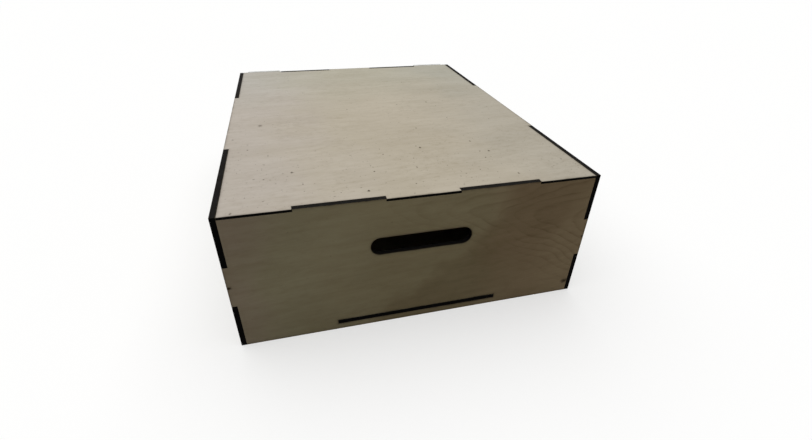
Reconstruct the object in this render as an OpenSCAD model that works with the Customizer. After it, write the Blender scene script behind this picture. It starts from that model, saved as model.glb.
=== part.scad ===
// Jack in the box: a finger-jointed plywood case with a hinged lid, and a doll on a spring inside.
// Millimetres, +Z up, front towards -Y. The origin is under the middle of the whole part.

/* [Case] */
// Width of the case over its side panels
case_w = 360; // [300:1:460]
// Depth of the case from its front face to its back face
case_d = 456; // [380:1:560]
// Height of the case with its lid shut
case_h = 147; // [138:1:170]
// Thickness of the plywood of the case and the floor
ply_t = 5; // [4:0.5:8]
// Thickness of the plywood of the lid
lid_t = 2.5; // [2.5:0.5:4]
// Height of the floor panel's underside above the table
floor_lift = 7; // [4:0.5:8]
// Gap that the laser leaves beside a glued finger
kerf_gap = 0.1; // [0.05:0.05:0.2]

/* [Fingers] */
// Length of the middle finger of the lid, along the front and back
mid_finger = 70; // [50:1:90]
// Length of each panel finger beside it
top_finger = 80; // [60:1:90]
// Length of the side panels' fingers at each end of the top edge
side_finger = 138; // [110:1:150]
// Height of the finger in the middle of each corner
corner_finger = 45; // [35:1:55]
// Length of the floor's tabs in the front and back panels
end_tab = 170; // [120:1:200]
// Length of the floor's tabs in the side panels
side_tab = 200; // [140:1:240]

/* [Hand slots] */
// Length of a hand slot with its round ends
slot_l = 100; // [85:1:120]
// Height of a hand slot
slot_h = 19; // [16:0.5:26]
// Depth of a hand slot's centre line below the top of the lid
slot_drop = 50; // [35:1:60]

/* [Lid hinges] */
// Gap between the lid's fingers and the fingers of the case
lid_gap = 0.5; // [0.2:0.05:0.8]
// Gap in front of the back panel's fingers, which the lid needs to swing clear
swing_gap = 0.6; // [0.6:0.05:1]
// Distance of each hinge's middle from the side face next to it
hinge_inset = 38; // [37:1:46]
// Length of a hinge along its pin
hinge_l = 50; // [40:1:54]
// Outer radius of the knuckles
knuckle_r = 3; // [2.8:0.1:3.4]
// Radius of the hinge pin
pin_r = 1.5; // [1.2:0.1:1.7]
// Running clearance round the pin
pin_clear = 0.05; // [0.03:0.01:0.1]
// Thickness of a hinge leaf
leaf_t = 1; // [0.8:0.1:1.4]
// Reach of each leaf from the pin
leaf_reach = 32; // [28:1:40]
// Angle at which the stop lug meets the case leaf
open_angle = 105; // [95:1:115]

/* [Catches] */
// Distance of each magnetic catch from the side face next to it
catch_inset = 88; // [70:1:110]
// Diameter of a catch magnet
magnet_d = 12; // [8:0.5:14]
// Thickness of a catch magnet
magnet_t = 3; // [2:0.5:5]
// Thickness of the steel strike disc under the lid
strike_t = 1.2; // [0.8:0.1:1.5]
// Air gap between a magnet and its strike disc
catch_gap = 0.3; // [0.2:0.05:0.6]

/* [Spring] */
// Room between the hat and the shut lid, which sets how far the spring is pressed down
lid_room = 4.5; // [3:0.5:8]
// Radius of the coil at the middle of the wire
coil_r = 34; // [30:1:36]
// Radius of the spring wire
wire_r = 1.6; // [1.2:0.1:1.8]
// Number of turns
coil_turns = 6; // [5:0.5:6.5]
// Radius of the two plywood discs that hold the spring
disc_r = 42; // [42:1:48]
// Thickness of these discs
disc_t = 6; // [4:0.5:6]

/* [Doll] */
// Radius of the turned head
head_r = 30; // [26:0.5:31]
// Bare height between the upper disc and the head
neck_h = 8; // [7:0.5:9]
// Radius of the neck dowel
neck_r = 9; // [7:0.5:11]
// Radius of the nose
nose_r = 5; // [4:0.5:6]
// Thickness of the felt of the hat
felt_t = 1.8; // [1.2:0.1:2.2]
// Radius of a hat bell
bell_r = 6; // [5:0.5:7]
// Radius of the ruff
ruff_r = 38; // [32:1:42]

/* [Hidden] */
$fn = 64;

// The case in plan and height
seat_z = case_h - lid_t;                 // the lid's underside
hinge_x = case_w / 2 - hinge_inset;
catch_x = case_w / 2 - catch_inset;
hinge_gap = 0.3;                         // between the knuckles and the back face
stop_reach = knuckle_r + 2.5;            // tip of the stop lug from the pin
pin_behind = hinge_gap + knuckle_r;      // the pin's centre behind the back face
hinge_out = pin_behind + stop_reach;
case_front = -(case_d + hinge_out) / 2;
case_back = case_front + case_d;
case_mid = (case_front + case_back) / 2;
pin_y = case_back + pin_behind;
inner_w = case_w - 2 * ply_t;
inner_d = case_d - 2 * ply_t;
floor_top = floor_lift + ply_t;
corner_z = (case_h - corner_finger) / 2;
finger_x = mid_finger / 2 + top_finger / 2;
eps = 0.01;

// Hinges and their screws. At open_angle a corner of the stop lug's tip meets the case leaf's outer face
knuckles = 5;
knuckle_l = hinge_l / knuckles;
knuckle_play = 0.15;
bore_r = pin_r + pin_clear;
sweep_r = knuckle_r + hinge_gap;
recess_gap = 0.2;                        // round the lid leaf where it crosses the back panel and case leaf
corner_r = 3;                            // of a leaf's free corners
lug_t = 1.6;
lug_play = 0.3;                          // degrees left before the lug touches
lug_lean = asin((pin_behind - leaf_t) / norm([stop_reach, lug_t / 2])) - atan2(lug_t / 2, stop_reach);
lug_angle = open_angle + lug_play - 90 - lug_lean;
pin_head_r = pin_r + 0.7;
pin_head_t = 0.8;
screw_r = 1.2;
screw_head_r = 2.4;
screw_head_t = 1.2;
screw_fit = 0.05;
case_screw_l = 4.6;                      // thread in the back panel
lid_screw_l = lid_t - 0.6;               // thread in the lid
screw_spread = hinge_l * 0.34;

// Catches
block_w = 34;
block_d = 22;
block_h = 20;
block_foot = 6;                          // height and depth left where the lower edge slopes away
catch_y = case_front + ply_t + block_d / 2;
magnet_top = seat_z - strike_t - catch_gap;
magnet_fit = 0.1;
strike_r = magnet_d / 2 + 2;

// The hat: a felt cap with two soft points that hang down at the sides, all from the middle of the head
hat_gap = 0.3;
cap_low = 0.2 * head_r;                  // height of the rim
cap_r = head_r + hat_gap + felt_t;
tail_r = 6.5;
tail_taper = 0.75;
tail_stops = [0, 0.34, 0.7, 1];          // where along a point its felt is widest to narrowest
bell_out = 20;                           // bells beyond the cap
bell_drop = 8;                           // bells below its rim
bell_wall = 0.9;
bell_slit = 1.2;
bell_x = cap_r + bell_out;
bell_rise = cap_low - bell_drop;

// The middle line of a point, from the crown out over the side and down to its bell, and its radius
function tail_point(s, t) =
    let (
        a = [s * cap_r * 0.34, 0, cap_r * 0.86],
        b = [s * cap_r * 0.95, 0, cap_r * 1.12],
        c = [s * bell_x, 0, cap_r],
        d = [s * bell_x, 0, bell_rise + bell_r],
        u = 1 - t
    )
    u * u * u * a + 3 * u * u * t * b + 3 * u * t * t * c + t * t * t * d;
function tail_radius(t) = tail_r * (1 - tail_taper * t);
hat_rise = max([for (t = tail_stops) tail_point(1, t)[2] + tail_radius(t)]);

// The stack of the jack: the lid presses the doll down onto its spring
foot_cut = 2;                            // height of ball cut away for the head's flat foot
base_top = floor_top + disc_t;
head_z = seat_z - lid_room - hat_rise;   // centre of the head
disc_top = head_z - head_r + foot_cut - neck_h;
disc_z = disc_top - disc_t;
spring_h = disc_z - base_top;
socket_h = 12;                           // depth of the dowel in the head
dowel_fit = 0.1;
seat_gap = 0.3;                          // between a soft piece and what it lies on
nose_drop = 2;                           // below the middle of the head
nose_peg_r = 2;
nose_peg_l = 5;
clip_w = 5;
clip_t = 0.6;
clip_fit = 0.3;                          // round the wire, which curves away inside the straight clip
clip_foot = 2.4;
saddle_r = wire_r + clip_fit + clip_t;
clip_turns = [0.1, 0.3];                 // places of the clips along the level end of the coil
sleeve_folds = 6;
sleeve_in = coil_r + saddle_r + clip_foot + seat_gap;
fold_d = 6;                              // depth of the folds
cloth_t = 1.2;
base_screw_r = 1.75;
base_screw_inset = 22;                   // from the rim of the disc
base_screw_ring = disc_r - base_screw_inset;

// Points of a helix with a level start and end, for a tube swept along it
end_turn = 0.35;
coil_steps = 36;                         // in each turn
wire_sides = 8;
function coil_rise(turn) =
    let (t = min(max((turn - end_turn) / (coil_turns - 2 * end_turn), 0), 1))
    base_top + wire_r + t * (spring_h - 2 * wire_r);
function coil_point(turn) =
    [coil_r * cos(360 * turn), case_mid + coil_r * sin(360 * turn), coil_rise(turn)];

// Rings of a tube along a list of points
function unit(v) = v / norm(v);
function along(points, i) =
    let (last = len(points) - 1)
    unit(points[min(i + 1, last)] - points[max(i - 1, 0)]);
function ring_of(points, r, up, sides, i) =
    let (
        ahead = along(points, i),
        side = unit(cross(ahead, up)),
        over = cross(side, ahead)
    )
    [for (k = [0 : sides - 1])
        points[i] + r * (cos(360 * k / sides) * side + sin(360 * k / sides) * over)];

module swept_tube(points, r, up, sides) {
    count = len(points);
    corners = [for (i = [0 : count - 1]) each ring_of(points, r, up, sides, i)];
    walls = [for (i = [0 : count - 2], k = [0 : sides - 1])
        let (a = i * sides + k, b = i * sides + (k + 1) % sides)
        [a, a + sides, b + sides, b]];
    first_cap = [for (k = [0 : sides - 1]) k];
    last_cap = [for (k = [sides - 1 : -1 : 0]) (count - 1) * sides + k];
    polyhedron(corners, concat([first_cap], walls, [last_cap]), convexity = 8);
}

// A flat shape drawn in X and Z, standing with its front face at y
module upright_x(y, t) {
    translate([0, y + t, 0]) rotate([90, 0, 0]) linear_extrude(t) children();
}

// A flat shape drawn in Y and Z, standing with its left face at x
module upright_y(x, t) {
    translate([x, 0, 0]) rotate([90, 0, 90]) linear_extrude(t) children();
}

// A round pin from one end to the other along X
module along_x(x, y, z, r, l) {
    translate([x, y, z]) rotate([0, 90, 0]) cylinder(h = l, r = r);
}

module hand_slot() {
    bar = slot_l - slot_h;
    translate([0, case_h - slot_drop]) {
        square([bar, slot_h], center = true);
        for (s = [-1, 1]) translate([s * bar / 2, 0]) circle(d = slot_h);
    }
}

// Front and back panel: level edge under the lid, two fingers up, one finger out at each corner
module end_outline() {
    difference() {
        union() {
            translate([-inner_w / 2 + kerf_gap, 0]) square([inner_w - 2 * kerf_gap, seat_z]);
            translate([-case_w / 2, corner_z + kerf_gap])
                square([case_w, corner_finger - 2 * kerf_gap]);
            for (s = [-1, 1])
                translate([s * finger_x - top_finger / 2, seat_z - 1]) square([top_finger, lid_t + 1]);
        }
        hand_slot();
        translate([-end_tab / 2, floor_lift]) square([end_tab, ply_t]);
    }
}

module side_outline() {
    difference() {
        union() {
            translate([case_front, 0]) square([case_d, seat_z]);
            for (y = [case_front, case_back - side_finger])
                translate([y, seat_z - 1]) square([side_finger, lid_t + 1]);
        }
        for (y = [case_front - 1, case_back - ply_t])
            translate([y, corner_z]) square([ply_t + 1, corner_finger]);
        translate([case_mid - side_tab / 2, floor_lift]) square([side_tab, ply_t]);
    }
}

module front_panel() {
    color("tan") upright_x(case_front, ply_t) end_outline();
}

module back_panel() {
    color("tan") difference() {
        upright_x(case_back - ply_t, ply_t) end_outline();
        // Recesses that the lid leaves cross
        for (s = [-1, 1])
            translate([s * hinge_x - hinge_l / 2 - recess_gap, case_back - ply_t - 1, seat_z - leaf_t - recess_gap])
                cube([hinge_l + 2 * recess_gap, ply_t + 2, leaf_t + recess_gap + 1]);
        for (s = [-1, 1]) case_screw_places(s)
            translate([0, -case_screw_l - screw_fit, 0]) rotate([-90, 0, 0])
                cylinder(h = case_screw_l + 1, r = screw_r + screw_fit, $fn = 24);
    }
}

module left_panel() {
    color("tan") upright_y(-case_w / 2, ply_t) side_outline();
}

module right_panel() {
    color("tan") upright_y(case_w / 2 - ply_t, ply_t) side_outline();
}

module floor_panel() {
    color("tan") difference() {
        translate([0, case_mid, floor_lift]) linear_extrude(ply_t) {
            square([inner_w - 2 * kerf_gap, inner_d - 2 * kerf_gap], center = true);
            square([end_tab - 2 * kerf_gap, case_d], center = true);
            square([case_w, side_tab - 2 * kerf_gap], center = true);
        }
        base_screw_places() cylinder(h = 3 * ply_t, r = base_screw_r + screw_fit, center = true, $fn = 24);
    }
}

// Magnetic catches
module catch_block(s) {
    color("burlywood") difference() {
        upright_y(s * catch_x - block_w / 2, block_w) translate([case_front + ply_t, magnet_top])
            polygon([[0, 0], [block_d, 0], [block_d, block_foot - block_h], [block_foot, -block_h],
                     [0, -block_h]]);
        translate([s * catch_x, catch_y, magnet_top - magnet_t])
            cylinder(h = magnet_t + 1, d = magnet_d + 2 * magnet_fit);
    }
}

module magnet(s) {
    color("silver") translate([s * catch_x, catch_y, magnet_top - magnet_t])
        cylinder(h = magnet_t, d = magnet_d);
}

module strike_disc(s) {
    color("silver") translate([s * catch_x, catch_y, seat_z - strike_t])
        cylinder(h = strike_t, r = strike_r);
}

module left_catch_block() { catch_block(-1); }
module right_catch_block() { catch_block(1); }
module left_magnet() { magnet(-1); }
module right_magnet() { magnet(1); }
module left_strike_disc() { strike_disc(-1); }
module right_strike_disc() { strike_disc(1); }

// Hinges: the case leaf has the outer and middle knuckles, the lid leaf the two between them
module knuckle_row(s, first) {
    for (k = [first : 2 : knuckles - 1])
        along_x(s * hinge_x - hinge_l / 2 + k * knuckle_l + knuckle_play / 2, pin_y, seat_z, knuckle_r,
                knuckle_l - knuckle_play);
}

// Square cuts in one leaf, from y and z outwards, that leave the other leaf's knuckles room to turn
module knuckle_room(s, first, y, z) {
    for (k = [first : 2 : knuckles - 1])
        translate([s * hinge_x - hinge_l / 2 + k * knuckle_l - knuckle_play / 2, y, z])
            cube([knuckle_l + knuckle_play, 4 * knuckle_r, 4 * knuckle_r]);
}

// A leaf's flat, from its round corners at y = 0 to its knuckles
module leaf_outline(reach) {
    translate([-hinge_l / 2, corner_r]) square([hinge_l, reach - corner_r]);
    translate([corner_r - hinge_l / 2, 0]) square([hinge_l - 2 * corner_r, reach]);
    for (x = [-1, 1]) translate([x * (hinge_l / 2 - corner_r), corner_r]) circle(r = corner_r, $fn = 32);
}

module case_leaf(s) {
    color("lightgray") difference() {
        union() {
            translate([s * hinge_x, 0, seat_z - leaf_reach])
                upright_x(case_back, leaf_t) leaf_outline(leaf_reach);
            knuckle_row(s, 0);
        }
        knuckle_room(s, 1, case_back - leaf_t, seat_z - sweep_r);
        along_x(s * hinge_x - hinge_l, pin_y, seat_z, bore_r, 2 * hinge_l);
        case_screw_places(s) rotate([-90, 0, 0])
            cylinder(h = 3 * leaf_t, r = screw_r + screw_fit, center = true, $fn = 24);
    }
}

module lid_leaf(s) {
    color("lightgray") difference() {
        union() {
            translate([s * hinge_x, pin_y - leaf_reach, seat_z - leaf_t])
                linear_extrude(leaf_t) leaf_outline(leaf_reach - pin_r);
            knuckle_row(s, 1);
            // Stop lugs, about level when the lid is shut
            for (k = [1 : 2 : knuckles - 1])
                translate([s * hinge_x - hinge_l / 2 + k * knuckle_l + knuckle_play / 2, pin_y, seat_z])
                    rotate([lug_angle, 0, 0]) translate([0, pin_r + 0.5, -lug_t / 2])
                        cube([knuckle_l - knuckle_play, stop_reach - pin_r - 0.5, lug_t]);
        }
        knuckle_room(s, 0, pin_y - sweep_r - recess_gap, seat_z - 2 * knuckle_r);
        along_x(s * hinge_x - hinge_l, pin_y, seat_z, bore_r, 2 * hinge_l);
        lid_screw_places(s) cylinder(h = 3 * leaf_t, r = screw_r + screw_fit, center = true, $fn = 24);
    }
}

module hinge_pin(s) {
    color("gray") {
        along_x(s * hinge_x - hinge_l / 2 - knuckle_play, pin_y, seat_z, pin_r, hinge_l + 2 * knuckle_play);
        for (x = [-hinge_l / 2 - knuckle_play - pin_head_t, hinge_l / 2 + knuckle_play])
            along_x(s * hinge_x + x, pin_y, seat_z, pin_head_r, pin_head_t);
    }
}

module left_case_leaf() { case_leaf(-1); }
module right_case_leaf() { case_leaf(1); }
module left_lid_leaf() { lid_leaf(-1); }
module right_lid_leaf() { lid_leaf(1); }
module left_hinge_pin() { hinge_pin(-1); }
module right_hinge_pin() { hinge_pin(1); }

// Places of the screws: three in a triangle on each leaf
module case_screw_places(s) {
    for (p = [[-screw_spread, 0.38], [screw_spread, 0.38], [0, 0.78]])
        translate([s * hinge_x + p[0], case_back, seat_z - p[1] * leaf_reach]) children();
}

module lid_screw_places(s) {
    for (p = [[-screw_spread, 0.5], [screw_spread, 0.5], [0, 0.84]])
        translate([s * hinge_x + p[0], pin_y - p[1] * leaf_reach, seat_z - leaf_t / 2]) children();
}

// A pan head screw with its head's underside at z = 0 and its thread upwards
module pan_screw(r, head_r, head_t, l) {
    cylinder(h = l, r = r, $fn = 24);
    translate([0, 0, -head_t / 2]) cylinder(h = head_t / 2, r = head_r, $fn = 32);
    translate([0, 0, -head_t]) cylinder(h = head_t / 2 + eps, r1 = head_r * 0.72, r2 = head_r, $fn = 32);
}

module case_leaf_screws() {
    color("silver") for (s = [-1, 1]) case_screw_places(s)
        translate([0, leaf_t, 0]) rotate([90, 0, 0])
            pan_screw(screw_r, screw_head_r, screw_head_t, case_screw_l + leaf_t);
}

module lid_leaf_screws() {
    color("silver") for (s = [-1, 1]) lid_screw_places(s)
        translate([0, 0, -leaf_t / 2]) pan_screw(screw_r, screw_head_r, screw_head_t, lid_screw_l + leaf_t);
}

// Lid: fingers over the panels' level edges, notches round the panels' fingers
module lid_panel() {
    color("wheat") difference() {
        translate([-case_w / 2, case_front, seat_z]) cube([case_w, case_d, lid_t]);
        for (s = [-1, 1]) {
            lid_notch(s * finger_x, case_front + ply_t / 2, top_finger, ply_t, lid_gap);
            lid_notch(s * finger_x, case_back - ply_t / 2, top_finger, ply_t, lid_gap);
            lid_notch(s * finger_x, case_back - ply_t, top_finger, 2 * swing_gap, lid_gap);
            for (y = [case_front, case_back - side_finger])
                lid_notch(s * (case_w - ply_t) / 2, y + side_finger / 2, ply_t, side_finger, lid_gap);
            lid_screw_places(s) cylinder(h = lid_screw_l + leaf_t / 2 + screw_fit, r = screw_r + screw_fit, $fn = 24);
        }
    }
}

// A hole through the lid round a finger of l by w at x and y; a swing gap is given as a w of its own
module lid_notch(x, y, l, w, gap) {
    translate([x, y, seat_z + lid_t / 2]) cube([l + 2 * gap, w + 2 * gap, 3 * lid_t], center = true);
}

// Spring and its discs
module base_screw_places() {
    for (a = [90, 210, 330])
        translate([base_screw_ring * cos(a), case_mid + base_screw_ring * sin(a), floor_lift]) children();
}

module spring_base() {
    color("burlywood") difference() {
        translate([0, case_mid, floor_top]) cylinder(h = disc_t, r = disc_r, $fn = 96);
        base_screw_places() cylinder(h = ply_t + disc_t - 1, r = base_screw_r + screw_fit, $fn = 24);
    }
}

module spring_base_screws() {
    color("silver") base_screw_places()
        pan_screw(base_screw_r, base_screw_r * 2, floor_lift * 0.3, ply_t + disc_t - 1.2);
}

// A strap that bridges the wire, with a foot on each side of it; dir is 1 on the lower disc, -1 under the upper
module spring_clip(z, dir) {
    hole_r = wire_r + clip_fit;
    translate([coil_r, 0, z]) facing(dir) rotate([90, 0, 0]) linear_extrude(clip_w, center = true)
        difference() {
            union() {
                translate([0, wire_r]) circle(r = saddle_r, $fn = 40);
                translate([-saddle_r, 0]) square([2 * saddle_r, wire_r]);
                translate([-saddle_r - clip_foot, 0]) square([2 * (saddle_r + clip_foot), clip_t]);
            }
            translate([0, wire_r]) circle(r = hole_r, $fn = 40);
            translate([-hole_r, -1]) square([2 * hole_r, wire_r + 1]);
            translate([-2 * saddle_r, -2 * saddle_r]) square([4 * saddle_r, 2 * saddle_r]);
        }
}

module facing(dir) {
    if (dir > 0) children();
    else mirror([0, 0, 1]) children();
}

module lower_spring_clips() {
    color("silver") for (a = clip_turns)
        translate([0, case_mid, 0]) rotate([0, 0, a * 360]) spring_clip(base_top, 1);
}

module upper_spring_clips() {
    color("silver") for (a = clip_turns)
        translate([0, case_mid, 0]) rotate([0, 0, (coil_turns - a) * 360]) spring_clip(disc_z, -1);
}

module jack_spring() {
    steps = ceil(coil_turns * coil_steps);
    points = [for (i = [0 : steps]) coil_point(i * coil_turns / steps)];
    color("dimgray") swept_tube(points, wire_r, [0, 0, 1], wire_sides);
}

// The cloth sleeve round the spring, in folds
module jack_sleeve() {
    low = base_top + seat_gap;
    high = disc_z - seat_gap;
    step = (high - low) / (2 * sleeve_folds);
    outer = [for (i = [0 : 2 * sleeve_folds]) [sleeve_in + cloth_t + (i % 2) * fold_d, low + i * step]];
    inner = [for (i = [2 * sleeve_folds : -1 : 0]) [sleeve_in + (i % 2) * fold_d, low + i * step]];
    color("firebrick") translate([0, case_mid, 0]) rotate_extrude($fn = 72) polygon(concat(outer, inner));
}

module upper_disc() {
    color("burlywood") difference() {
        translate([0, case_mid, disc_z]) cylinder(h = disc_t, r = disc_r, $fn = 96);
        translate([0, case_mid, disc_z - 1]) cylinder(h = disc_t + 2, r = neck_r + dowel_fit);
    }
}

// Doll
module neck_dowel() {
    color("burlywood") translate([0, case_mid, disc_z])
        cylinder(h = disc_t + neck_h + socket_h - dowel_fit, r = neck_r);
}

module ruff() {
    low = disc_top + seat_gap;
    high = disc_top + neck_h - 1;
    band = neck_r + 0.5;
    color("gold") translate([0, case_mid, 0]) rotate_extrude($fn = 72)
        polygon([[band, low], [ruff_r - 2, low], [ruff_r, low + 1.2], [ruff_r * 0.6, high - 1],
                 [neck_r + 3, high], [band, high]]);
}

// The head is a turned ball with a flat foot round its socket
module head() {
    color("bisque") difference() {
        translate([0, case_mid, head_z]) sphere(r = head_r, $fn = 96);
        translate([0, case_mid, head_z - 2 * head_r]) cylinder(h = head_r + foot_cut, r = 2 * head_r);
        translate([0, case_mid, head_z - head_r]) cylinder(h = socket_h + foot_cut, r = neck_r + dowel_fit);
        nose_peg(dowel_fit, dowel_fit);
    }
}

module nose_peg(gap, extra) {
    translate([0, case_mid - head_r + nose_peg_l + extra, head_z - nose_drop]) rotate([90, 0, 0])
        cylinder(h = nose_peg_l + nose_r, r = nose_peg_r + gap, $fn = 32);
}

module nose() {
    color("firebrick") {
        translate([0, case_mid - head_r - nose_r - 0.1, head_z - nose_drop]) sphere(r = nose_r, $fn = 48);
        nose_peg(0, 0);
    }
}

module hat() {
    color("firebrick") difference() {
        union() {
            translate([0, case_mid, head_z]) sphere(r = cap_r, $fn = 72);
            for (s = [-1, 1], i = [0 : len(tail_stops) - 2]) hull()
                for (t = [tail_stops[i], tail_stops[i + 1]])
                    translate([0, case_mid, head_z] + tail_point(s, t)) sphere(r = tail_radius(t), $fn = 24);
        }
        translate([0, case_mid, head_z]) sphere(r = cap_r - felt_t, $fn = 72);
        translate([0, case_mid, head_z - 2 * head_r + cap_low])
            cylinder(h = 2 * head_r, r = 1.2 * head_r);
    }
}

// Hollow brass bells, slotted across below
module hat_bells() {
    bell_z = head_z + bell_rise - tail_radius(1) - seat_gap;
    color("gold") for (s = [-1, 1]) translate([s * bell_x, case_mid, bell_z]) difference() {
        sphere(r = bell_r, $fn = 48);
        sphere(r = bell_r - bell_wall, $fn = 32);
        translate([-bell_r, -bell_slit / 2, -2 * bell_r]) cube([2 * bell_r, bell_slit, 2 * bell_r]);
    }
}

front_panel();
back_panel();
left_panel();
right_panel();
floor_panel();
left_catch_block();
right_catch_block();
left_magnet();
right_magnet();
left_case_leaf();
right_case_leaf();
left_hinge_pin();
right_hinge_pin();
case_leaf_screws();
spring_base();
spring_base_screws();
lower_spring_clips();
jack_spring();
jack_sleeve();
lid_panel();
left_lid_leaf();
right_lid_leaf();
lid_leaf_screws();
left_strike_disc();
right_strike_disc();
upper_disc();
upper_spring_clips();
neck_dowel();
ruff();
head();
nose();
hat();
hat_bells();
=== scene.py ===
import math

import bpy
from mathutils import Matrix, Vector, noise


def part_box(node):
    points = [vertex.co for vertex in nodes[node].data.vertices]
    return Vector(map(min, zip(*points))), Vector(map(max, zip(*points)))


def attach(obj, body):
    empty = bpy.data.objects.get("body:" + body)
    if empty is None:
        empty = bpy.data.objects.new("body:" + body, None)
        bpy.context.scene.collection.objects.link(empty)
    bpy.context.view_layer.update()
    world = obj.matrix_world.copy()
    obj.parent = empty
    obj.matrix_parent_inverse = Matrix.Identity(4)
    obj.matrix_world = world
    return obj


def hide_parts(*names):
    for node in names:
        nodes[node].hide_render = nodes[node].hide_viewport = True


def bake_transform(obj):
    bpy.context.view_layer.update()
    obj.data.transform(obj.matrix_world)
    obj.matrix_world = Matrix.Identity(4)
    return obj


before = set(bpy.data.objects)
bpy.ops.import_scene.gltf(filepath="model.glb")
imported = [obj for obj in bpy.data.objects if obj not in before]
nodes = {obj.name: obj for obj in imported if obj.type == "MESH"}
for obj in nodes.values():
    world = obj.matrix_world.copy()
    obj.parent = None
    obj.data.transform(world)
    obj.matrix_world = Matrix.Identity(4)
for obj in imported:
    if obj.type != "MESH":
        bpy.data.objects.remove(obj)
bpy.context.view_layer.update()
print("frame loaded:", len(nodes), "nodes")


def srgb(r, g, b):
    # a colour as a painter reads it, 0 to 255, made linear
    linear = [v / 255 / 12.92 if v <= 10 else ((v / 255 + 0.055) / 1.055) ** 2.4 for v in (r, g, b)]
    return (*linear, 1)


# Small helpers for shader trees
def fill(tree, sockets, values):
    # a socket takes a plain value, or a link from another socket
    for key, value in values.items():
        if isinstance(value, bpy.types.NodeSocket):
            tree.links.new(value, sockets[key])
        else:
            sockets[key].default_value = value


def addNode(tree, kind, inputs=None, settings=None):
    node = tree.nodes.new("ShaderNode" + kind)
    for key, value in (settings or {}).items():
        setattr(node, key, value)
    fill(tree, node.inputs, inputs or {})
    return node


def calc(tree, operation, *values, clamp=False):
    settings = {"operation": operation, "use_clamp": clamp}
    return addNode(tree, "Math", dict(enumerate(values)), settings).outputs[0]


def times(tree, a, b):
    return calc(tree, "MULTIPLY", a, b)


def plus(tree, a, b, clamp=False):
    return calc(tree, "ADD", a, b, clamp=clamp)


def less(tree, a, b):
    return calc(tree, "SUBTRACT", a, b)


def vectorCalc(tree, operation, *values, out=0):
    return addNode(tree, "VectorMath", dict(enumerate(values)), {"operation": operation}).outputs[out]


def split(tree, vector):
    return addNode(tree, "SeparateXYZ", {0: vector}).outputs


def combine(tree, x, y, z=0):
    return addNode(tree, "CombineXYZ", {"X": x, "Y": y, "Z": z}).outputs[0]


def remap(tree, value, low, high, toLow=0, toHigh=1, smooth=True):
    inputs = {"Value": value, "From Min": low, "From Max": high, "To Min": toLow, "To Max": toHigh}
    settings = {"interpolation_type": "SMOOTHSTEP" if smooth else "LINEAR"}
    return addNode(tree, "MapRange", inputs, settings).outputs["Result"]


def mixColour(tree, factor, a, b, blend="MIX"):
    settings = {"data_type": "RGBA", "blend_type": blend, "clamp_factor": True}
    return addNode(tree, "Mix", {0: factor, 6: a, 7: b}, settings).outputs[2]


def mixNumber(tree, factor, a, b):
    return addNode(tree, "Mix", {0: factor, 2: a, 3: b}, {"data_type": "FLOAT"}).outputs[0]


def noiseField(tree, vector, scale, detail=2, rough=0.5, stretch=None):
    if stretch:
        vector = vectorCalc(tree, "MULTIPLY", vector, stretch)
    inputs = {"Vector": vector, "Scale": scale, "Detail": detail, "Roughness": rough}
    return addNode(tree, "TexNoise", inputs).outputs["Fac"]


def newGroup(name, inputs, outputs):
    tree = bpy.data.node_groups.new(name, "ShaderNodeTree")
    for label, kind, *start in inputs:
        socket = tree.interface.new_socket(label, in_out="INPUT", socket_type="NodeSocket" + kind)
        if start:
            socket.default_value = start[0]
    for label, kind in outputs:
        tree.interface.new_socket(label, in_out="OUTPUT", socket_type="NodeSocket" + kind)
    return tree, tree.nodes.new("NodeGroupInput").outputs, tree.nodes.new("NodeGroupOutput").inputs


def useGroup(tree, group, inputs):
    return addNode(tree, "Group", inputs, {"node_tree": group}).outputs


def emptyTree(owner):
    owner.use_nodes = True
    owner.node_tree.nodes.clear()
    return owner.node_tree


def newMaterial(name):
    material = bpy.data.materials.new(name)
    tree = emptyTree(material)
    shader = addNode(tree, "BsdfPrincipled")
    addNode(tree, "OutputMaterial", {"Surface": shader.outputs["BSDF"]})
    return material, tree, shader, addNode(tree, "TexCoord").outputs["Object"]


def bumped(tree, height, strength, distance):
    inputs = {"Height": height, "Strength": strength, "Distance": distance}
    return addNode(tree, "Bump", inputs).outputs["Normal"]


def wear(piece, material):
    piece.data.materials.clear()
    piece.data.materials.append(material)


# Small helpers for meshes
def newObject(name, data):
    piece = bpy.data.objects.new(name, data)
    bpy.context.collection.objects.link(piece)
    return piece


def deselect():
    if bpy.context.object and bpy.context.object.mode != "OBJECT":
        bpy.ops.object.mode_set(mode="OBJECT")
    bpy.ops.object.select_all(action="DESELECT")


def only(piece):
    deselect()
    piece.select_set(True)
    bpy.context.view_layer.objects.active = piece


def settle(piece):
    # the piece's place goes into its mesh
    only(piece)
    bpy.ops.object.transform_apply(location=True, rotation=True, scale=True)


def finish(piece, name, material, body, smoothAngle=40):
    settle(piece)
    bpy.ops.object.shade_smooth_by_angle(angle=math.radians(smoothAngle))
    piece.name = name
    piece.data.name = name
    wear(piece, material)
    if body:
        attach(piece, body)
    return piece


def applyModifier(piece, kind, **settings):
    only(piece)
    modifier = piece.modifiers.new(kind.title(), kind)
    for key, value in settings.items():
        setattr(modifier, key, value)
    bpy.ops.object.modifier_apply(modifier=modifier.name)


def cutAway(piece, cutter):
    applyModifier(piece, "BOOLEAN", operation="DIFFERENCE", object=cutter, solver="EXACT")
    bpy.data.objects.remove(cutter)


def addBall(radius, place, segments):
    deselect()
    bpy.ops.mesh.primitive_uv_sphere_add(segments=segments, ring_count=segments // 2, radius=radius,
                                         location=place)
    return bpy.context.object


def joinAll(pieces):
    deselect()
    for piece in pieces:
        piece.select_set(True)
    bpy.context.view_layer.objects.active = pieces[0]
    bpy.ops.object.join()
    return bpy.context.object


def meshFrom(name, points, faces, material, body):
    mesh = bpy.data.meshes.new(name)
    mesh.from_pydata([tuple(p) for p in points], [], faces)
    mesh.update()
    return finish(newObject(name, mesh), name, material, body, 60)


def editAll(piece):
    only(piece)
    bpy.ops.object.mode_set(mode="EDIT")
    bpy.ops.mesh.select_all(action="SELECT")


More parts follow.
